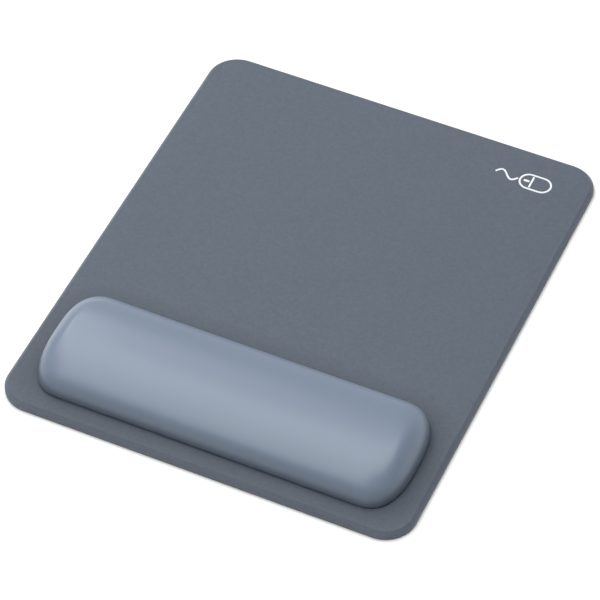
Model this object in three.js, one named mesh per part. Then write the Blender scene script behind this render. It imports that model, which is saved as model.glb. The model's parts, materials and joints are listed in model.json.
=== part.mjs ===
// Mouse pad with a padded wrist rest along its front edge.
//
// Units are millimetres. +Z is up, +Y points away from the user, so the wrist rest lies at
// -Y, and the origin is the middle of the underside, where the pad meets the desk.
import * as THREE from 'three';

// ---- Driving dimensions ----

const PAD = { width: 209, depth: 251, height: 4.3, cornerRadius: 15.5 };

const EDGE_BEVEL = 1.75; // the pad's top edge is bevelled at 45 degrees, this far in and down

// The cushion's outside. The margin is kept at the pad's front and at its two sides.
const CUSHION = { margin: 10.6, depth: 62.1, height: 17.5 };

// Seen from above each end is half a superellipse: how far it runs along the cushion, its power,
// and how quickly that run shortens as the cushion draws in towards its crest.
const END_PLAN = { run: 18.7, power: 2.74, shortening: 0.4 };

// Seen in section the sides are superellipses with one power upwards and another across, which
// differs at the ends. The ends slope in by endSlope; the long sides meet in a crest.
const SECTION = { upPower: 2.3, sidePower: 2.6, endPower: 1.7, endSlope: 10.4 };

const GRIP_THICKNESS = 0.8;
const FABRIC_THICKNESS = 0.6;
const FILM_THICKNESS = 0.1;
const COVER_THICKNESS = 0.8;
const BOARD_THICKNESS = 1;
const MOUNTING_GLUE_THICKNESS = 0.15;
const INK_THICKNESS = 0.08;

const FABRIC_RIM_HEIGHT = 0.3; // the fabric's cut edge stays this far above the desk
const FOLD_RADIUS = 0.6; // where the cushion's cover turns in under it
const HEM_WIDTH = 12; // how far the turned-in cover reaches
const LAYER_GAP = 0.1; // side gap between the pad's nested layers
const COVER_GAP = 0.25; // gap between the cushion's cover and what fills it

// The printed pictogram: a computer mouse lying on its side, with its lead to the left.
const PRINT = { right: 85, middleY: 105, bodyLength: 17, bodyWidth: 10.4, line: 0.95 };
const PRINT_LEAD = { length: 12, swing: 2.4, gap: 0.7 };

// ---- Smoothness ----

const CORNER_STEPS = 8;
const END_STEPS = 9;
const FOLD_STEPS = 2;
const CROWN_STEPS = 11;
const LEAD_STEPS = 24;

const QUARTER_TURN = Math.PI / 2;
const LOWEST_CROWN_ANGLE = THREE.MathUtils.degToRad(8);
const HIGHEST_CROWN_ANGLE = THREE.MathUtils.degToRad(88);

// ---- Materials ----

const MATERIALS = {
  gripRubber: { color: 0x2b2f36, roughness: 0.85 },
  laminatingFilm: { color: 0xcfd2d4, roughness: 0.5 },
  foamRubber: { color: 0x4b515b, roughness: 0.95 },
  padFabric: { color: 0x68707c, roughness: 0.9 },
  whiteInk: { color: 0xf2f4f5, roughness: 0.55 },
  hotMeltGlue: { color: 0xd9d2bd, roughness: 0.4 },
  greyBoard: { color: 0x8d867b, roughness: 0.85 },
  cushionFoam: { color: 0xd8d3c4, roughness: 1 },
  softCover: { color: 0x93a1b6, roughness: 0.45 },
};

const materials = {};
for (const [name, look] of Object.entries(MATERIALS)) {
  materials[name] = new THREE.MeshStandardMaterial({ ...look, metalness: 0 });
}

// ---- Outlines and bodies ----

/** The points of a rounded rectangle at height z, anticlockwise seen from above. */
function roundedRectangle(halfX, halfY, radius, z) {
  const points = [];
  for (let corner = 0; corner < 4; corner += 1) {
    const signX = corner === 0 || corner === 3 ? 1 : -1;
    const signY = corner < 2 ? 1 : -1;
    for (let step = 0; step <= CORNER_STEPS; step += 1) {
      const angle = (corner + step / CORNER_STEPS) * QUARTER_TURN;
      const x = signX * (halfX - radius) + radius * Math.cos(angle);
      const y = signY * (halfY - radius) + radius * Math.sin(angle);
      points.push(new THREE.Vector3(x, y, z));
    }
  }
  return points;
}

/** The cosine and sine of an angle of the first quarter, bent to a superellipse of the power. */
function superellipse(angle, power) {
  return { cos: Math.cos(angle) ** (2 / power), sin: Math.sin(angle) ** (2 / power) };
}

/** The points of a bar with straight long sides and superelliptic ends, anticlockwise. */
function barOutline({ halfX, halfY, run, centreY, z }) {
  const points = [];
  for (let corner = 0; corner < 4; corner += 1) {
    const signX = corner === 0 || corner === 3 ? 1 : -1;
    const signY = corner < 2 ? 1 : -1;
    const opens = corner % 2 === 0; // from the end's tip to the long side, or the other way
    const steps = opens ? END_STEPS + 1 : END_STEPS; // each tip is one corner's point only
    for (let step = 0; step < steps; step += 1) {
      const share = (opens ? step : END_STEPS - step) / END_STEPS;
      const bend = superellipse(share * QUARTER_TURN, END_PLAN.power);
      const x = signX * (halfX - run + run * bend.cos);
      points.push(new THREE.Vector3(x, centreY + signY * halfY * bend.sin, z));
    }
  }
  return points;
}

/** A closed body through a row of outlines: the first is capped facing down, the last facing up. */
function loft(outlines) {
  const count = outlines[0].length;
  const points = outlines.flat();
  const faces = [];
  for (let level = 0; level + 1 < outlines.length; level += 1) {
    for (let i = 0; i < count; i += 1) {
      const here = level * count;
      const above = here + count;
      const next = (i + 1) % count;
      faces.push(here + i, here + next, above + next);
      faces.push(here + i, above + next, above + i);
    }
  }
  const addCap = (level, facesUp) => {
    const centre = new THREE.Vector3();
    outlines[level].forEach((point) => centre.addScaledVector(point, 1 / count));
    const hub = points.push(centre) - 1;
    for (let i = 0; i < count; i += 1) {
      const a = level * count + i;
      const b = level * count + ((i + 1) % count);
      faces.push(hub, facesUp ? a : b, facesUp ? b : a);
    }
  };
  addCap(0, false);
  addCap(outlines.length - 1, true);
  const geometry = new THREE.BufferGeometry().setFromPoints(points);
  geometry.setIndex(faces);
  geometry.computeVertexNormals();
  return geometry;
}

/** A flat plate of one footprint, from z = 0 up; a second footprint is the hole through it. */
function plate(footprint, thickness, hole) {
  const shape = new THREE.Shape(footprint.map((point) => new THREE.Vector2(point.x, point.y)));
  if (hole) {
    shape.holes.push(new THREE.Path(hole.map((point) => new THREE.Vector2(point.x, point.y))));
  }
  return new THREE.ExtrudeGeometry(shape, { depth: thickness, bevelEnabled: false });
}

const product = new THREE.Group();

/** Adds one named piece to a group, with its lowest level at the height given. */
function addPiece(group, name, geometry, material, height = 0) {
  const mesh = new THREE.Mesh(geometry, material);
  mesh.name = name;
  mesh.position.z = height;
  group.add(mesh);
}

// ---- The pad: backing, foam and fabric, laminated ----

/** The pad's outline, drawn in by an inset. */
function padOutline(inset, z = 0) {
  const halfX = PAD.width / 2 - inset;
  const halfY = PAD.depth / 2 - inset;
  return roundedRectangle(halfX, halfY, PAD.cornerRadius - inset, z);
}

/** The outlines of the pad's bevelled top edge, for a layer that lies a depth below the surface. */
function bevelledEdge(depth) {
  const mitre = depth * (Math.SQRT2 - 1);
  return [
    padOutline(depth, PAD.height - EDGE_BEVEL - mitre),
    padOutline(EDGE_BEVEL + mitre, PAD.height - depth),
  ];
}

const coreBottom = GRIP_THICKNESS + FILM_THICKNESS;
const fabricUnderside = PAD.height - FABRIC_THICKNESS;
const coreTop = fabricUnderside - FILM_THICKNESS;
const coreInset = FABRIC_THICKNESS + LAYER_GAP;
const filmInset = EDGE_BEVEL + coreInset;

function addPad() {
  const pad = new THREE.Group();
  product.add(pad);

  const grip = plate(padOutline(coreInset), GRIP_THICKNESS);
  addPiece(pad, 'grip_base', grip, materials.gripRubber);

  const lowerFilm = plate(padOutline(coreInset + LAYER_GAP), FILM_THICKNESS);
  addPiece(pad, 'base_adhesive', lowerFilm, materials.laminatingFilm, GRIP_THICKNESS);

  const core = loft([padOutline(coreInset, coreBottom), ...bevelledEdge(coreInset)]);
  addPiece(pad, 'pad_core', core, materials.foamRubber);

  const upperFilm = plate(padOutline(filmInset), FILM_THICKNESS);
  addPiece(pad, 'surface_adhesive', upperFilm, materials.laminatingFilm, coreTop);

  // The fabric is one skin: under the top, down inside the edge, and back up outside it.
  const fabric = loft([
    ...bevelledEdge(FABRIC_THICKNESS).reverse(),
    padOutline(FABRIC_THICKNESS, FABRIC_RIM_HEIGHT),
    padOutline(0, FABRIC_RIM_HEIGHT),
    ...bevelledEdge(0),
  ]);
  addPiece(pad, 'surface_sheet', fabric, materials.padFabric);
}

// ---- The cushion: its heights are measured from the pad's top ----

const cushionCentreY = -PAD.depth / 2 + CUSHION.margin + CUSHION.depth / 2;

const hemTop = MOUNTING_GLUE_THICKNESS + COVER_THICKNESS;
const boardBottom = hemTop + FILM_THICKNESS;
const boardTop = boardBottom + BOARD_THICKNESS;
const foamBottom = boardTop + FILM_THICKNESS;

/** The cushion's widest outline, drawn in by an inset. */
function cushionOutline(inset, z = 0) {
  return barOutline({
    halfX: PAD.width / 2 - CUSHION.margin - inset,
    halfY: CUSHION.depth / 2 - inset,
    run: END_PLAN.run,
    centreY: cushionCentreY,
    z,
  });
}

/** The outlines of the cushion's crowned top, for a skin that lies further in by an inset. */
function crown(inset) {
  const halfX = PAD.width / 2 - CUSHION.margin - inset;
  const halfY = CUSHION.depth / 2 - inset;
  const outlines = [];
  for (let step = 0; step <= CROWN_STEPS; step += 1) {
    const angle = THREE.MathUtils.mapLinear(
      step, 0, CROWN_STEPS, LOWEST_CROWN_ANGLE, HIGHEST_CROWN_ANGLE,
    );
    const side = superellipse(angle, SECTION.sidePower).cos;
    const end = superellipse(angle, SECTION.endPower).cos;
    outlines.push(barOutline({
      halfX: halfX - SECTION.endSlope * (1 - end),
      halfY: halfY * side,
      run: END_PLAN.run * side ** END_PLAN.shortening,
      centreY: cushionCentreY,
      z: (CUSHION.height - inset) * superellipse(angle, SECTION.upPower).sin,
    }));
  }
  return outlines;
}

/** The cover: crown, side, the fold at its foot, and the hem turned in below it. */
function makeCover() {
  const hemInset = FOLD_RADIUS + HEM_WIDTH;
  const fold = [];
  for (let step = 0; step <= FOLD_STEPS; step += 1) {
    const angle = (step / FOLD_STEPS) * QUARTER_TURN;
    const inset = FOLD_RADIUS * (1 - Math.sin(angle));
    const height = MOUNTING_GLUE_THICKNESS + FOLD_RADIUS * (1 - Math.cos(angle));
    fold.push(cushionOutline(inset, height));
  }
  return loft([
    ...crown(COVER_THICKNESS).reverse(),
    cushionOutline(COVER_THICKNESS, hemTop),
    cushionOutline(hemInset, hemTop),
    cushionOutline(hemInset, MOUNTING_GLUE_THICKNESS),
    ...fold,
    ...crown(0),
  ]);
}

/** The glue under the cushion: a thin sheet below the hem, thicker where it fills the opening. */
function makeMountingGlue() {
  const sheetInset = 2 * FOLD_RADIUS;
  const openingInset = FOLD_RADIUS + HEM_WIDTH + COVER_GAP;
  return loft([
    cushionOutline(sheetInset, 0),
    cushionOutline(sheetInset, MOUNTING_GLUE_THICKNESS),
    cushionOutline(openingInset, MOUNTING_GLUE_THICKNESS),
    cushionOutline(openingInset, boardBottom),
  ]);
}

function addCushion() {
  const cushion = new THREE.Group();
  cushion.position.z = PAD.height;
  product.add(cushion);

  const fillInset = COVER_THICKNESS + COVER_GAP;
  const hemInset = FOLD_RADIUS + HEM_WIDTH - COVER_GAP;
  addPiece(cushion, 'mounting_adhesive', makeMountingGlue(), materials.hotMeltGlue);
  addPiece(cushion, 'cushion_cover', makeCover(), materials.softCover);

  const hemFilm = plate(cushionOutline(fillInset), FILM_THICKNESS, cushionOutline(hemInset));
  addPiece(cushion, 'hem_adhesive', hemFilm, materials.hotMeltGlue, hemTop);

  const board = plate(cushionOutline(fillInset), BOARD_THICKNESS);
  addPiece(cushion, 'backing_board', board, materials.greyBoard, boardBottom);

  const foamFilm = plate(cushionOutline(fillInset + COVER_GAP), FILM_THICKNESS);
  addPiece(cushion, 'foam_adhesive', foamFilm, materials.hotMeltGlue, boardTop);

  const foam = loft([cushionOutline(fillInset, foamBottom), ...crown(fillInset)]);
  addPiece(cushion, 'foam_core', foam, materials.cushionFoam);
}

// ---- The print: each island of ink lies on the fabric ----

/** The outline of a bar with round ends, centred on the print's middle line. */
function roundBar(left, right, width, middleY = PRINT.middleY) {
  const radius = width / 2;
  const bar = new THREE.Path();
  bar.absarc(right - radius, middleY, radius, -QUARTER_TURN, QUARTER_TURN);
  bar.absarc(left + radius, middleY, radius, QUARTER_TURN, 3 * QUARTER_TURN);
  bar.closePath();
  return bar.getPoints(CORNER_STEPS).slice(0, -1);
}

/** The mouse's lead: a band of even width that waves once on its way to the body. */
function leadOutline(bodyLeft) {
  const right = bodyLeft - PRINT_LEAD.gap;
  const upper = [];
  const lower = [];
  for (let step = 0; step <= LEAD_STEPS; step += 1) {
    const share = step / LEAD_STEPS;
    const phase = 2 * Math.PI * share;
    const slope = PRINT_LEAD.swing * (2 * Math.PI / PRINT_LEAD.length) * Math.cos(phase);
    const x = right - PRINT_LEAD.length * (1 - share);
    const y = PRINT.middleY + PRINT_LEAD.swing * Math.sin(phase);
    const across = new THREE.Vector2(-slope, 1).setLength(PRINT.line / 2);
    upper.push(new THREE.Vector2(x, y).add(across));
    lower.push(new THREE.Vector2(x, y).sub(across));
  }
  return [...lower, ...upper.reverse()];
}

function addPrint() {
  const print = new THREE.Group();
  print.position.z = PAD.height;
  product.add(print);

  const { right, middleY, bodyLength, bodyWidth, line } = PRINT;
  const left = right - bodyLength;
  const buttonX = left + 0.38 * bodyLength;
  const buttonHalf = bodyWidth / 2 - 1.6 * line;
  const buttonLine = [[-1, -1], [1, -1], [1, 1], [-1, 1]].map(
    ([sideX, sideY]) => new THREE.Vector2(buttonX + sideX * line / 2, middleY + sideY * buttonHalf),
  );
  const bodyOuter = roundBar(left, right, bodyWidth);
  const bodyInner = roundBar(left + line, right - line, bodyWidth - 2 * line);
  const addInk = (name, shape, hole) => {
    addPiece(print, name, plate(shape, INK_THICKNESS, hole), materials.whiteInk);
  };
  addInk('print_mouse_outline', bodyOuter, bodyInner);
  addInk('print_button_line', buttonLine);
  addInk('print_wheel', roundBar(left + 2.4 * line, buttonX - 1.1 * line, 1.4 * line));
  addInk('print_lead', leadOutline(left));
}

addPad();
addCushion();
addPrint();

export default product;
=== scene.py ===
"""Mouse pad with a padded wrist rest: materials, fabric, padding, light and camera.

They go around the CAD frame. Everything is in metres, in the part's own frame: +X to the user's right,
+Y away from the user, +Z up, with the origin in the middle of the underside.
"""

import json
import math

import bmesh
import bpy
import numpy as np
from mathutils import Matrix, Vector
from mathutils.geometry import tessellate_polygon


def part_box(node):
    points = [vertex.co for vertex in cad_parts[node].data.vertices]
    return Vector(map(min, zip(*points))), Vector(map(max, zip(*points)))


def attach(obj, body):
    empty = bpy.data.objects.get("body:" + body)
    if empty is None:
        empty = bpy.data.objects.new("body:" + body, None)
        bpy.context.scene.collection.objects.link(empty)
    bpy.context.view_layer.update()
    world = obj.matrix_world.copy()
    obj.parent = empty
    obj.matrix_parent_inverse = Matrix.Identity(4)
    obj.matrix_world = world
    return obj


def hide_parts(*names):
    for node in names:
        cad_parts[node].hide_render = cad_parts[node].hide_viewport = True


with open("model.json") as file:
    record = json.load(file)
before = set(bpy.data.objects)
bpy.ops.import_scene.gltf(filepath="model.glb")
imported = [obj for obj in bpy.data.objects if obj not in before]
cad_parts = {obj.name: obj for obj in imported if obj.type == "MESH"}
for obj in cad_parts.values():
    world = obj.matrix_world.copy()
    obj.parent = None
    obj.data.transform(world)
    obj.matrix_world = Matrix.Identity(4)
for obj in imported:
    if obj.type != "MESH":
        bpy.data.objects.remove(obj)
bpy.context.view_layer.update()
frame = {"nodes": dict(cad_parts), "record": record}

MM = 0.001
QUARTER_TURN = math.pi / 2

# ---- Sizes read from the CAD frame ----

PAD_LOW, PAD_HIGH = (np.array(corner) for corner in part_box("surface_sheet"))
COVER_LOW, COVER_HIGH = (np.array(corner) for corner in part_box("cushion_cover"))
PAD_HALF_X, PAD_HALF_Y = PAD_HIGH[0], PAD_HIGH[1]
PAD_TOP = PAD_HIGH[2]
CUSHION_HALF_X = COVER_HIGH[0]
CUSHION_HALF_Y = (COVER_HIGH[1] - COVER_LOW[1]) / 2
CUSHION_CENTRE_Y = (COVER_HIGH[1] + COVER_LOW[1]) / 2
CUSHION_HEIGHT = COVER_HIGH[2] - PAD_TOP

# ---- Sizes of the fabric and the cover, as in the CAD source ----

PAD_CORNER_RADIUS = 15.5 * MM
EDGE_BEVEL = 1.75 * MM
FABRIC_THICKNESS = 0.6 * MM
FABRIC_RIM_HEIGHT = PAD_LOW[2]

# The cushion's form: how long its ends are, their superellipse powers, and how far they slope in.
END_RUN = 18.7 * MM
END_PLAN_POWER = 2.74
END_SHORTENING = 0.4
UP_POWER = 2.3
SIDE_POWER = 2.6
END_POWER = 1.7
END_SLOPE = 10.4 * MM

COVER_THICKNESS = 0.8 * MM
FOLD_RADIUS = 0.6 * MM
HEM_WIDTH = 12 * MM
GLUE_THICKNESS = 0.15 * MM


# ---- Node materials ----

KNIT_COLOUR = (0.0916, 0.1103, 0.1397)
KNIT_WALE = 0.42 * MM
KNIT_COURSE = 0.3 * MM
LOOP_SLANT = 0.8 * math.pi
LOOP_DEPTH = 0.25
LOOP_FULLNESS = 0.6

# Painted light: the pad's edge is lightened, and made a little smoother, from just below its top, in
# full from a little lower down.
EDGE_TINT_START = 0.05 * MM
EDGE_TINT_FULL = 0.4 * MM
EDGE_PAINTED_LIGHT = 0.14

# Painted shade: the pad is darker near the cushion, and the cushion is darker near the pad.
CREASE_REACH = 14 * MM
CREASE_PAINTED_SHADE = 0.25
FOOT_START = 4 * MM
FOOT_REACH = 10 * MM
FOOT_PAINTED_SHADE = 0.22

COVER_COLOUR = (0.184, 0.229, 0.3)
PEBBLE_SIZE = 0.5 * MM
PORE_SIZE = 0.25 * MM


def srgb(red, green, blue):
    """A colour given as three bytes, in linear light."""
    def to_linear(value):
        value /= 255
        return value / 12.92 if value <= 0.04045 else ((value + 0.055) / 1.055) ** 2.4
    return tuple(to_linear(value) for value in (red, green, blue))


class Nodes:
    """A short way to build one material's node tree."""

    def __init__(self, name, roughness, **sockets):
        self.material = bpy.data.materials.new(name)
        self.material.use_nodes = True
        self.tree = self.material.node_tree
        self.shader = self.tree.nodes["Principled BSDF"]
        self.shader.inputs["Roughness"].default_value = roughness
        for socket, value in sockets.items():
            self.shader.inputs[socket.replace("_", " ")].default_value = value
        self.place = self.add("ShaderNodeTexCoord").outputs["Object"]
        axes = self.add("ShaderNodeSeparateXYZ", {"Vector": self.place}).outputs
        self.x, self.y, self.z = axes["X"], axes["Y"], axes["Z"]

    def add(self, kind, links=None, **settings):
        """A node with its input links, and with its settings as attributes or as socket values."""
        node = self.tree.nodes.new(kind)
        for name, value in settings.items():
            if hasattr(node, name):
                setattr(node, name, value)
            else:
                node.inputs[name.replace("_", " ")].default_value = value
        for socket, source in (links or {}).items():
            self.tree.links.new(source, node.inputs[socket])
        return node

    def noise(self, size, detail=2.0, roughness=0.5):
        """Noise with features of about the size given, from 0 to 1."""
        node = self.add(
            "ShaderNodeTexNoise", {"Vector": self.place},
            Scale=1 / size, Detail=detail, Roughness=roughness,
        )
        return node.outputs["Fac"]

    def cells(self, size, feature="SMOOTH_F1"):
        """Rounded cells of about the size given, 0 in their middles."""
        node = self.add(
            "ShaderNodeTexVoronoi", {"Vector": self.place}, feature=feature, Scale=1 / size,
        )
        return node.outputs["Distance"]

    def ramp(self, source, low, high, start, end):
        """A value that runs evenly from low to high as the source runs from start to end."""
        node = self.add(
            "ShaderNodeMapRange", {"Value": source},
            From_Min=start, From_Max=end, To_Min=low, To_Max=high,
        )
        return node.outputs["Result"]

    def math(self, operation, *sources):
        """The result of one operation on numbers and other nodes' outputs."""
        node = self.add("ShaderNodeMath", operation=operation)
        for socket, source in zip(node.inputs, sources):
            if isinstance(source, (int, float)):
                socket.default_value = source
            else:
                self.tree.links.new(source, socket)
        return node.outputs["Value"]

    def blend(self, first, second, share):
        """Two values added up, the second one with the share given."""
        return self.total(self.math("MULTIPLY", first, 1 - share), (second, share))

    def total(self, base, *parts):
        """A base value plus every part times its weight."""
        for source, weight in parts:
            base = self.math("ADD", base, self.math("MULTIPLY", source, weight))
        return base

    def tint(self, colour, source):
        """A colour made lighter or darker by a value that is 1 where it stays as it is."""
        node = self.add("ShaderNodeVectorMath", {"Scale": source}, operation="SCALE", Vector=colour)
        return node.outputs["Vector"]

    def set(self, socket, source):
        """Drives one of the shader's sockets."""
        self.tree.links.new(source, self.shader.inputs[socket])

    def bump(self, height, distance, strength):
        """Relief in the shading only: the distance is what a height from 0 to 1 stands for."""
        node = self.add("ShaderNodeBump", {"Height": height}, Distance=distance, Strength=strength)
        self.set("Normal", node.outputs["Normal"])


def knit_relief(nodes):
    """The relief of a jersey knit, from 0 to 1: columns of loops, each loop a small V.

    The height is added to both axes, so that the columns go on down the pad's sides.
    """
    across = nodes.math("ADD", nodes.x, nodes.z)
    along = nodes.math("ADD", nodes.y, nodes.z)
    column = nodes.math("DIVIDE", nodes.math("PINGPONG", across, KNIT_WALE / 2), KNIT_WALE / 2)
    turn = nodes.math("MULTIPLY", along, 2 * math.pi / KNIT_COURSE)
    slant = nodes.math("MULTIPLY", column, LOOP_SLANT)
    loop = nodes.math("SINE", nodes.math("ADD", turn, slant))
    loop = nodes.math("MULTIPLY_ADD", loop, LOOP_DEPTH, 1 - LOOP_DEPTH)
    return nodes.math("MULTIPLY", nodes.math("POWER", column, LOOP_FULLNESS), loop)


def distance_to_cushion(nodes):
    """How far a point of the pad lies from the cushion's foot, taken as a rounded rectangle."""
    reaches = []
    for place, half in (
        (nodes.x, CUSHION_HALF_X),
        (nodes.math("SUBTRACT", nodes.y, CUSHION_CENTRE_Y), CUSHION_HALF_Y),
    ):
        beyond = nodes.math("SUBTRACT", nodes.math("ABSOLUTE", place), half - END_RUN)
        reaches.append(nodes.math("POWER", nodes.math("MAXIMUM", beyond, 0), 2))
    return nodes.math("SUBTRACT", nodes.math("SQRT", nodes.math("ADD", *reaches)), END_RUN)


def knit_fabric():
    """The pad's fine knit: tiny loops, a faint mottle, a fibre sheen, an edge made smoother by pressing
    and lightened with painted light, and painted shade near the cushion.
    """
    nodes = Nodes(
        "pad_knit", 0.7, Sheen_Weight=0.12, Sheen_Roughness=0.55, Specular_IOR_Level=0.25,
    )
    relief = knit_relief(nodes)
    fibre = nodes.noise(0.6 * MM, detail=3.0, roughness=0.7)
    mottle = nodes.noise(1.6 * MM, detail=3.0, roughness=0.6)
    cloud = nodes.noise(22 * MM)
    # Painted light: this edge mask lightens the knit down the bevel, and it also makes the bevel a
    # little smoother.
    pressed_edge_and_painted_light = nodes.ramp(nodes.z, 1.0, 0.0, PAD_TOP - EDGE_TINT_FULL, PAD_TOP - EDGE_TINT_START)
    # Painted shade: the loops' relief also darkens the knit in the gaps between the loops.
    shade = nodes.total(
        0.56, (fibre, 0.32), (mottle, 0.45), (relief, 0.06), (cloud, 0.06), (pressed_edge_and_painted_light, EDGE_PAINTED_LIGHT),
    )
    # Painted shade: the knit darkens towards the cushion's foot.
    painted_crease_shade = nodes.ramp(distance_to_cushion(nodes), 1 - CREASE_PAINTED_SHADE, 1.0, 0.0, CREASE_REACH)
    nodes.set("Base Color", nodes.tint(KNIT_COLOUR, nodes.math("MULTIPLY", shade, painted_crease_shade)))
    nodes.set("Roughness", nodes.ramp(pressed_edge_and_painted_light, 0.64, 0.6, 0.0, 1.0))
    nodes.bump(nodes.blend(relief, fibre, 0.4), 0.12 * MM, 0.5)
    return nodes.material


def satin_cover():
    """The cushion's skin: smooth leatherette with a very fine pebble grain, a satin gloss, and painted
    shade low on its sides.
    """
    nodes = Nodes("satin_cover", 0.34, Specular_IOR_Level=0.42)
    cloud = nodes.noise(18 * MM)
    pores = nodes.noise(PORE_SIZE, detail=3.0, roughness=0.6)
    pebbles = nodes.cells(PEBBLE_SIZE)
    shade = nodes.total(0.97, (cloud, 0.03), (pores, 0.03))
    height = nodes.math("SUBTRACT", nodes.z, PAD_TOP)
    # Painted shade: the cover darkens over its lowest part, fading out at FOOT_REACH above the pad.
    foot = nodes.ramp(height, 1 - FOOT_PAINTED_SHADE, 1.0, FOOT_START, FOOT_REACH)
    nodes.set("Base Color", nodes.tint(COVER_COLOUR, nodes.math("MULTIPLY", shade, foot)))
    handled = nodes.blend(nodes.noise(6 * MM), pores, 0.5)
    nodes.set("Roughness", nodes.ramp(handled, 0.315, 0.365, 0.3, 0.7))
    nodes.bump(nodes.blend(pebbles, pores, 0.35), 0.03 * MM, 0.15)
    return nodes.material


def printed_ink():
    """Screen print: white ink that sinks a little into the knit, with fine pinholes."""
    nodes = Nodes("white_ink", 0.6, Specular_IOR_Level=0.35)
    relief = knit_relief(nodes)
    pinholes = nodes.noise(0.35 * MM, detail=2.0)
    wear = nodes.ramp(pinholes, 0.8, 1.0, 0.34, 0.46)
    nodes.set("Base Color", nodes.tint(srgb(240, 243, 246), nodes.math("MULTIPLY", wear, 0.92)))
    nodes.bump(nodes.blend(relief, pinholes, 0.3), 0.06 * MM, 0.5)
    return nodes.material


def sole_rubber():
    """The backing's rubber: dark, matt, with a fine blasted grain and a little dust on its ribs."""
    nodes = Nodes("grip_rubber", 0.82, Specular_IOR_Level=0.35)
    grain = nodes.noise(0.25 * MM, detail=4.0, roughness=0.7)
    dust = nodes.noise(16 * MM, detail=4.0, roughness=0.6)
    shade = nodes.total(0.6, (grain, 0.3), (dust, 0.5))
    nodes.set("Base Color", nodes.tint(srgb(48, 52, 58), shade))
    nodes.set("Roughness", nodes.ramp(dust, 0.7, 0.9, 0.3, 0.7))
    nodes.bump(grain, 0.06 * MM, 0.6)
    return nodes.material


def open_foam(name, colour, cell_size):
    """Cut foam: round open cells, with painted shade that darkens their middles."""
    nodes = Nodes(name, 0.95, Specular_IOR_Level=0.2)
    cells = nodes.cells(cell_size)
    cloud = nodes.noise(20 * cell_size)
    # Painted shade: each open cell is darker in its middle, where it is deepest.
    shade = nodes.total(nodes.ramp(cells, 0.6, 1.0, 0.1, 0.5), (cloud, 0.1))
    nodes.set("Base Color", nodes.tint(colour, shade))
    nodes.bump(cells, 0.5 * cell_size, 0.7)
    return nodes.material


def fibre_board():
    """Pressed grey board: short fibres in every direction, with darker flecks."""
    nodes = Nodes("board", 0.85, Specular_IOR_Level=0.25)
    fibre = nodes.noise(0.7 * MM, detail=5.0, roughness=0.75)
    flecks = nodes.ramp(nodes.cells(2.5 * MM, feature="F1"), 0.75, 1.0, 0.02, 0.12)
    shade = nodes.math("MULTIPLY", flecks, nodes.total(0.8, (fibre, 0.4)))
    nodes.set("Base Color", nodes.tint(srgb(141, 134, 123), shade))
    nodes.bump(fibre, 0.05 * MM, 0.5)
    return nodes.material


def dried_glue(name, colour, roughness, ripple):
    """A dried film of glue: smooth, with slow ripples and small bubbles."""
    nodes = Nodes(name, roughness, Specular_IOR_Level=0.5)
    ripples = nodes.noise(ripple, detail=3.0)
    bubbles = nodes.ramp(nodes.cells(1.4 * MM, feature="F1"), 0.0, 1.0, 0.05, 0.16)
    shade = nodes.math("MULTIPLY", nodes.total(0.88, (ripples, 0.2)), nodes.blend(bubbles, 1.0, 0.9))
    nodes.set("Base Color", nodes.tint(colour, shade))
    nodes.set("Roughness", nodes.ramp(ripples, roughness - 0.08, roughness + 0.08, 0.3, 0.7))
    nodes.bump(nodes.blend(ripples, bubbles, 0.3), 0.08 * MM, 0.6)
    return nodes.material


MATERIALS = {
    "pad_fabric": knit_fabric(),
    "soft_cover": satin_cover(),
    "white_ink": printed_ink(),
    "grip_rubber": sole_rubber(),
    "foam_rubber": open_foam("foam_rubber", srgb(75, 81, 91), 0.4 * MM),
    "cushion_foam": open_foam("cushion_foam", srgb(216, 211, 196), 0.6 * MM),
    "board": fibre_board(),
    "glue": dried_glue("glue", srgb(217, 210, 189), 0.4, 4 * MM),
    "laminating_film": dried_glue("laminating_film", srgb(207, 210, 212), 0.5, 12 * MM),
}


def dress(thing, slot):
    """Gives a piece the material of its slot in the record."""
    thing.data.materials.clear()
    thing.data.materials.append(MATERIALS[slot])


# ---- Mesh building ----

def make_object(name, points, faces):
    """A smoothly shaded object, linked into the scene."""
    mesh = bpy.data.meshes.new(name)
    mesh.from_pydata([tuple(point) for point in points], [], faces)
    mesh.validate()
    for polygon in mesh.polygons:
        polygon.use_smooth = True
    thing = bpy.data.objects.new(name, mesh)
    bpy.context.scene.collection.objects.link(thing)
    return thing


def rounded_rectangle(half_x, half_y, radius, z, corner_steps):
    """The points of a rounded rectangle, anticlockwise seen from above."""
    points = []
    signs = [(1, 1), (-1, 1), (-1, -1), (1, -1)]
    for corner, (sign_x, sign_y) in enumerate(signs):
        for step in range(corner_steps + 1):
            angle = (corner + step / corner_steps) * QUARTER_TURN
            points.append((
                sign_x * (half_x - radius) + radius * math.cos(angle),
                sign_y * (half_y - radius) + radius * math.sin(angle),
                z,
            ))
    return np.array(points)


def bar_outline(half_x, half_y, run, z, end_steps, side_steps):
    """The points of a bar with straight long sides and superelliptic ends, anticlockwise."""
    quarter = np.linspace(0, QUARTER_TURN, end_steps + 1)
    bend_x = half_x - run + run * np.cos(quarter) ** (2 / END_PLAN_POWER)
    bend_y = half_y * np.sin(quarter) ** (2 / END_PLAN_POWER)
    side = np.linspace(half_x - run, run - half_x, side_steps + 1)[1:-1]
    back = np.concatenate([
        np.stack([bend_x, bend_y], axis=1),
        np.stack([side, np.full(len(side), half_y)], axis=1),
        np.stack([-bend_x[::-1], bend_y[::-1]], axis=1)[:-1],
    ])
    outline = np.concatenate([back, -back])
    outline[:, 1] += CUSHION_CENTRE_Y
    return np.column_stack([outline, np.full(len(outline), z)])


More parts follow.
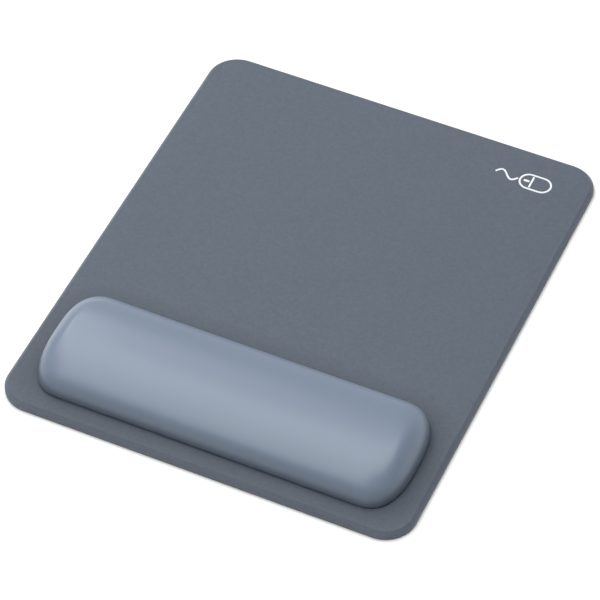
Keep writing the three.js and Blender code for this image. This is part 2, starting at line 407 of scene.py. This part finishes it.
def loft(name, outlines):
    """A closed mesh through a row of outlines: first and last are each closed by rungs across them.

    The two that are closed are level and convex, with an even count of points. A rung joins the points
    that lie equally many steps before and after the outline's first one.
    """
    count = len(outlines[0])
    faces = []
    for level in range(len(outlines) - 1):
        for i in range(count):
            j = (i + 1) % count
            low, high = level * count, (level + 1) * count
            faces.append((low + i, low + j, high + j, high + i))
    for level, faces_up in ((0, False), (len(outlines) - 1, True)):
        for i in range(count // 2):
            rung = dict.fromkeys((i, i + 1, count - i - 1, (count - i) % count))
            face = [level * count + corner for corner in rung]
            faces.append(face if faces_up else face[::-1])
    return make_object(name, np.concatenate(outlines), faces)


# ---- The pad's fabric ----

EDGE_SOFTENING = 0.3 * MM
EDGE_STEPS = 8
FABRIC_CORNER_STEPS = 32


def fabric_outline(inset, z):
    """The pad's outline, drawn in by an inset."""
    return rounded_rectangle(
        PAD_HALF_X - inset, PAD_HALF_Y - inset, PAD_CORNER_RADIUS - inset, z, FABRIC_CORNER_STEPS,
    )


def bevelled_edge(depth, softening=0.0):
    """The outlines up the pad's edge and over its 45 degree bevel, at a depth below the surface.

    A quarter round is split in the middle, and its halves are drawn apart along the bevel.
    """
    bevel = EDGE_BEVEL + depth * (math.sqrt(2) - 1)
    tangent = softening * math.tan(QUARTER_TURN / 4)
    outlines = []
    for step in range(EDGE_STEPS + 1):
        angle = step / EDGE_STEPS * QUARTER_TURN
        along = bevel - depth + tangent - softening if step > EDGE_STEPS / 2 else 0
        inset = depth + softening * (1 - math.cos(angle)) + along
        height = PAD_TOP - bevel - tangent + softening * math.sin(angle) + along
        outlines.append(fabric_outline(inset, height))
    return outlines


def make_fabric():
    """The knit skin: under the top, down inside the edge, and back up over the bevelled edge."""
    fabric = loft("pad_surface", [
        *bevelled_edge(FABRIC_THICKNESS)[::-1],
        fabric_outline(FABRIC_THICKNESS, FABRIC_RIM_HEIGHT),
        fabric_outline(0, FABRIC_RIM_HEIGHT),
        *bevelled_edge(0, EDGE_SOFTENING),
    ])
    dress(fabric, "pad_fabric")
    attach(fabric, "root")
    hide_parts("surface_sheet")


# ---- The non-slip backing ----

SOLE_PITCH = 3.2 * MM
SOLE_BORDER = 5 * MM
SOLE_RELIEF = 0.35 * MM
SOLE_RIB = 0.35 * MM
SOLE_BED_SHARE = 0.8
SOLE_EDGE = 0.2 * MM
SOLE_CORNER_STEPS = 16
DIAMOND_TIPS = ((0, -1), (1, 0), (0, 1), (-1, 0))


def make_sole():
    """The rubber backing: a thin plate whose underside is a net of ribs around sunk diamonds."""
    low, high = (np.array(corner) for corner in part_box("grip_base"))
    columns, rows = (int(2 * (half - SOLE_BORDER) / SOLE_PITCH) for half in high[:2])
    left, front = -columns * SOLE_PITCH / 2, -rows * SOLE_PITCH / 2
    body = bmesh.new()

    def point(x, y, z):
        return body.verts.new((x, y, z))

    grid = [
        [point(left + i * SOLE_PITCH, front + j * SOLE_PITCH, low[2]) for i in range(columns + 1)]
        for j in range(rows + 1)
    ]
    reach = SOLE_PITCH / 2 - SOLE_RIB
    bed_reach = SOLE_BED_SHARE * reach
    for j in range(rows):
        for i in range(columns):
            x, y = left + (i + 0.5) * SOLE_PITCH, front + (j + 0.5) * SOLE_PITCH
            corners = [grid[j][i], grid[j][i + 1], grid[j + 1][i + 1], grid[j + 1][i]]
            rim = [point(x + reach * a, y + reach * b, low[2]) for a, b in DIAMOND_TIPS]
            bed = [
                point(x + bed_reach * a, y + bed_reach * b, low[2] + SOLE_RELIEF)
                for a, b in DIAMOND_TIPS
            ]
            for k in range(4):
                after = (k + 1) % 4
                body.faces.new((corners[k], rim[k], corners[after]))
                body.faces.new((corners[after], rim[k], rim[after]))
                body.faces.new((rim[k], bed[k], bed[after], rim[after]))
            body.faces.new(bed)

    radius = PAD_CORNER_RADIUS - (PAD_HALF_X - high[0])
    edge_profile = [
        (SOLE_EDGE, low[2]),
        (0, low[2] + SOLE_EDGE),
        (0, high[2]),
    ]
    rings = [
        [point(*place) for place in rounded_rectangle(
            high[0] - inset, high[1] - inset, radius - inset, z, SOLE_CORNER_STEPS,
        )]
        for inset, z in edge_profile
    ]
    for below, above in zip(rings, rings[1:]):
        for i in range(len(below)):
            after = (i + 1) % len(below)
            body.faces.new((below[i], below[after], above[after], above[i]))
    body.faces.new(rings[-1])

    net = (
        grid[0] + [row[-1] for row in grid[1:]]
        + grid[-1][-2::-1] + [row[0] for row in grid[-2:0:-1]]
    )
    border = [rings[0], net]
    loose = [vertex for ring in border for vertex in ring]
    for a, b, c in tessellate_polygon([[vertex.co for vertex in ring] for ring in border]):
        body.faces.new((loose[a], loose[b], loose[c]))
    bmesh.ops.recalc_face_normals(body, faces=body.faces)

    mesh = bpy.data.meshes.new("grip_sole")
    body.to_mesh(mesh)
    body.free()
    sole = bpy.data.objects.new("grip_sole", mesh)
    bpy.context.scene.collection.objects.link(sole)
    dress(sole, "grip_rubber")
    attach(sole, "root")
    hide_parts("grip_base")


# ---- The cushion's cover ----

END_STEPS = 28
SIDE_STEPS = 60
FOLD_STEPS = 5
CROWN_LEVELS = 36

# The crown's lowest and highest outlines, in degrees up from its foot. At 90 it would be a line.
CROWN_LOWEST = 4.0
CROWN_HIGHEST = 89.6

# The swell: a coarse copy is put under pressure, and its capped moves are smoothed over a reach.
SWELL_VOXEL = 4 * MM
SWELL_PRESSURE = 4
SWELL_FRAMES = 20
SWELL_CAP = 0.5 * MM
SWELL_REACH = 4 * MM


def cushion_outline(inset, z):
    """The cushion's widest outline, drawn in by an inset."""
    return bar_outline(
        CUSHION_HALF_X - inset, CUSHION_HALF_Y - inset, END_RUN, z, END_STEPS, SIDE_STEPS,
    )


def crown(inset, slack=0.0):
    """The outlines of the crowned top, for a skin an inset further in, with some slack at the crest."""
    outlines = []
    for angle in np.radians(np.linspace(CROWN_LOWEST, CROWN_HIGHEST, CROWN_LEVELS)):
        side = math.cos(angle) ** (2 / SIDE_POWER)
        end = math.cos(angle) ** (2 / END_POWER)
        smaller = inset + slack * math.sin(angle)
        outlines.append(bar_outline(
            CUSHION_HALF_X - smaller - END_SLOPE * (1 - end),
            (CUSHION_HALF_Y - smaller) * side,
            END_RUN * side ** END_SHORTENING,
            PAD_TOP + (CUSHION_HEIGHT - smaller) * math.sin(angle) ** (2 / UP_POWER),
            END_STEPS,
            SIDE_STEPS,
        ))
    return np.array(outlines)


def inflate(form):
    """The points of a remeshed copy of a closed form, and how far pressure pushes each of them."""
    remesh = form.modifiers.new("remesh", "REMESH")
    remesh.mode = "VOXEL"
    remesh.voxel_size = SWELL_VOXEL
    evaluated = form.evaluated_get(bpy.context.evaluated_depsgraph_get())
    trial = bpy.data.objects.new("swell_trial", bpy.data.meshes.new_from_object(evaluated))
    bpy.context.scene.collection.objects.link(trial)
    start = np.array([vertex.co for vertex in trial.data.vertices])
    glued = np.flatnonzero(start[:, 2] < PAD_TOP + SWELL_VOXEL / 2)
    trial.vertex_groups.new(name="glued").add(glued.tolist(), 1.0, "REPLACE")
    cloth = trial.modifiers.new("cloth", "CLOTH")
    cloth.settings.vertex_group_mass = "glued"
    cloth.settings.use_pressure = True
    cloth.settings.uniform_pressure_force = SWELL_PRESSURE
    cloth.settings.effector_weights.gravity = 0
    cloth.point_cache.frame_end = SWELL_FRAMES
    for number in range(1, SWELL_FRAMES + 1):
        bpy.context.scene.frame_set(number)
    settled = trial.evaluated_get(bpy.context.evaluated_depsgraph_get())
    moves = np.array([vertex.co for vertex in settled.data.vertices]) - start
    bpy.context.scene.frame_set(1)
    bpy.data.objects.remove(trial)
    return start, moves


def swell(outlines):
    """Each outline point's move as the padding fills the skin, no longer than SWELL_CAP."""
    form = loft("swell_form", [cushion_outline(0, PAD_TOP), *outlines])
    start, moves = inflate(form)
    bpy.data.objects.remove(form)
    lengths = np.linalg.norm(moves, axis=1, keepdims=True)
    moves *= SWELL_CAP / np.maximum(lengths, SWELL_CAP)
    smoothed = []
    for outline in outlines:
        gaps = np.linalg.norm(outline[:, None] - start[None], axis=2)
        shares = np.exp(-(gaps / SWELL_REACH) ** 2)
        smoothed.append(shares @ moves / shares.sum(axis=1, keepdims=True))
    return np.array(smoothed)


def make_cover():
    """The leatherette skin: crown, side, the fold at its foot, and the hem turned in below it.

    Its inside keeps its place over the foam, and its outside is the one that swells.
    """
    hem_top = PAD_TOP + GLUE_THICKNESS + COVER_THICKNESS
    hem_inset = FOLD_RADIUS + HEM_WIDTH
    fold = []
    for angle in np.linspace(0, QUARTER_TURN, FOLD_STEPS + 1):
        fold.append(cushion_outline(
            FOLD_RADIUS * (1 - math.sin(angle)),
            PAD_TOP + GLUE_THICKNESS + FOLD_RADIUS * (1 - math.cos(angle)),
        ))
    slack = crown(0, SWELL_CAP)
    cover = loft("cushion_skin", [
        *crown(COVER_THICKNESS)[::-1],
        cushion_outline(COVER_THICKNESS, hem_top),
        cushion_outline(hem_inset, hem_top),
        cushion_outline(hem_inset, PAD_TOP + GLUE_THICKNESS),
        *fold,
        *(slack + swell(slack)),
    ])
    dress(cover, "soft_cover")
    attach(cover, "root")
    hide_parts("cushion_cover")


def dress_frame():
    """Gives every CAD node that stays its slot's material."""
    slots = {part["node"]: part["material_slot"] for part in frame["record"]["subparts"]}
    for node, thing in frame["nodes"].items():
        dress(thing, slots[node])


# ---- Floor, light and camera ----

# One factor for the radiance of every softbox.
LIGHT = 1.42

# The floor glows more and more with the distance from the origin.
FLOOR_HALF = 8.0
FLOOR_CLEARANCE = 0.02 * MM
FLOOR_COLOUR = (0.9, 0.9, 0.9, 1)
FLOOR_ROUGHNESS = 0.9
FLOOR_GLOW_COLOUR = (1, 1, 1, 1)
FLOOR_GLOW_NEAR = 0.04
FLOOR_GLOW_FAR = 0.95
FLOOR_GLOW_START = 0.5
FLOOR_GLOW_END = 3.0

# The room's light, by the height of the direction that it comes from.
HORIZON_COLOUR = (0.96, 0.98, 1.0, 1)
HORIZON_BAND = {"From Min": 0.08, "From Max": 0.13, "To Min": 0.95, "To Max": 0.02}

# The photo's view, fitted to the pad's edges and corners.
VIEW_AZIMUTH = math.radians(24.47)
VIEW_ELEVATION = math.radians(49.09)
VIEW_DISTANCE = 1.5898
VIEW_AIM = Vector((-0.96, -5.85, -4.28)) * MM
VIEW_CLIP = 20
LENS_MM = 197.48
SENSOR_MM = 36


def view_direction():
    """The direction that the camera looks in."""
    level = math.cos(VIEW_ELEVATION)
    return Vector((
        -math.sin(VIEW_AZIMUTH) * level,
        math.cos(VIEW_AZIMUTH) * level,
        -math.sin(VIEW_ELEVATION),
    ))


def aim(thing, direction):
    thing.rotation_euler = direction.to_track_quat("-Z", "Y").to_euler()


def add_camera():
    camera = bpy.data.objects.new("camera", bpy.data.cameras.new("camera"))
    bpy.context.scene.collection.objects.link(camera)
    camera.data.lens = LENS_MM
    camera.data.sensor_width = SENSOR_MM
    camera.data.clip_end = VIEW_CLIP
    camera.location = VIEW_AIM - VIEW_DISTANCE * view_direction()
    aim(camera, view_direction())
    bpy.context.scene.camera = camera


def add_softbox(name, height, across, along, radiance):
    """A level, evenly lit panel overhead, facing down.

    Its left and right sides, and its front and back, are given as tangents seen from the origin.
    """
    left, right = across
    front, back = along
    light = bpy.data.objects.new(name, bpy.data.lights.new(name, "AREA"))
    bpy.context.scene.collection.objects.link(light)
    width = (right - left) * height
    depth = (back - front) * height
    light.data.shape = "RECTANGLE"
    light.data.size, light.data.size_y = width, depth
    light.data.energy = radiance * LIGHT * math.pi * width * depth
    light.location = ((left + right) / 2 * height, (front + back) / 2 * height, height)


def add_floor():
    """A plain white floor, a hair below the object, that glows a little beyond the softboxes' reach."""
    signs = [(-1, -1), (1, -1), (1, 1), (-1, 1)]
    corners = [(a * FLOOR_HALF, b * FLOOR_HALF, -FLOOR_CLEARANCE) for a, b in signs]
    floor = make_object("floor", corners, [(0, 1, 2, 3)])
    nodes = Nodes(
        "floor", FLOOR_ROUGHNESS, Base_Color=FLOOR_COLOUR, Emission_Color=FLOOR_GLOW_COLOUR,
    )
    distance = nodes.add("ShaderNodeVectorMath", {"Vector": nodes.place}, operation="LENGTH")
    glow = nodes.ramp(
        distance.outputs["Value"],
        FLOOR_GLOW_NEAR, FLOOR_GLOW_FAR, FLOOR_GLOW_START, FLOOR_GLOW_END,
    )
    nodes.set("Emission Strength", glow)
    floor.data.materials.append(nodes.material)


def set_world():
    """A nearly dark room with a pale band at the horizon, where a low view looks past the floor."""
    world = bpy.data.worlds.new("studio")
    bpy.context.scene.world = world
    world.use_nodes = True
    tree = world.node_tree
    place = tree.nodes.new("ShaderNodeTexCoord")
    axes = tree.nodes.new("ShaderNodeSeparateXYZ")
    band = tree.nodes.new("ShaderNodeMapRange")
    for socket, value in HORIZON_BAND.items():
        band.inputs[socket].default_value = value
    background = tree.nodes["Background"]
    background.inputs["Color"].default_value = HORIZON_COLOUR
    tree.links.new(place.outputs["Generated"], axes.inputs["Vector"])
    tree.links.new(axes.outputs["Z"], band.inputs["Value"])
    tree.links.new(band.outputs["Result"], background.inputs["Strength"])


dress_frame()
make_sole()
make_fabric()
make_cover()
add_floor()
set_world()
add_softbox("softbox_top", height=2.0, across=(-0.6, 0.0), along=(-0.6, 0.6), radiance=2.6)
add_softbox("softbox_front", height=2.0, across=(-0.6, 0.0), along=(-1.2, -0.6), radiance=2.3)
add_softbox("softbox_back_left", height=0.9, across=(-1.2, -0.6), along=(0.5, 1.2), radiance=4.6)
add_softbox("softbox_left", height=0.9, across=(-1.2, -0.6), along=(0.0, 0.5), radiance=2.0)
add_softbox("softbox_right", height=1.2, across=(0.0, 0.55), along=(-0.2, 0.6), radiance=2.4)
add_camera()
bpy.context.scene.view_settings.view_transform = "Standard"
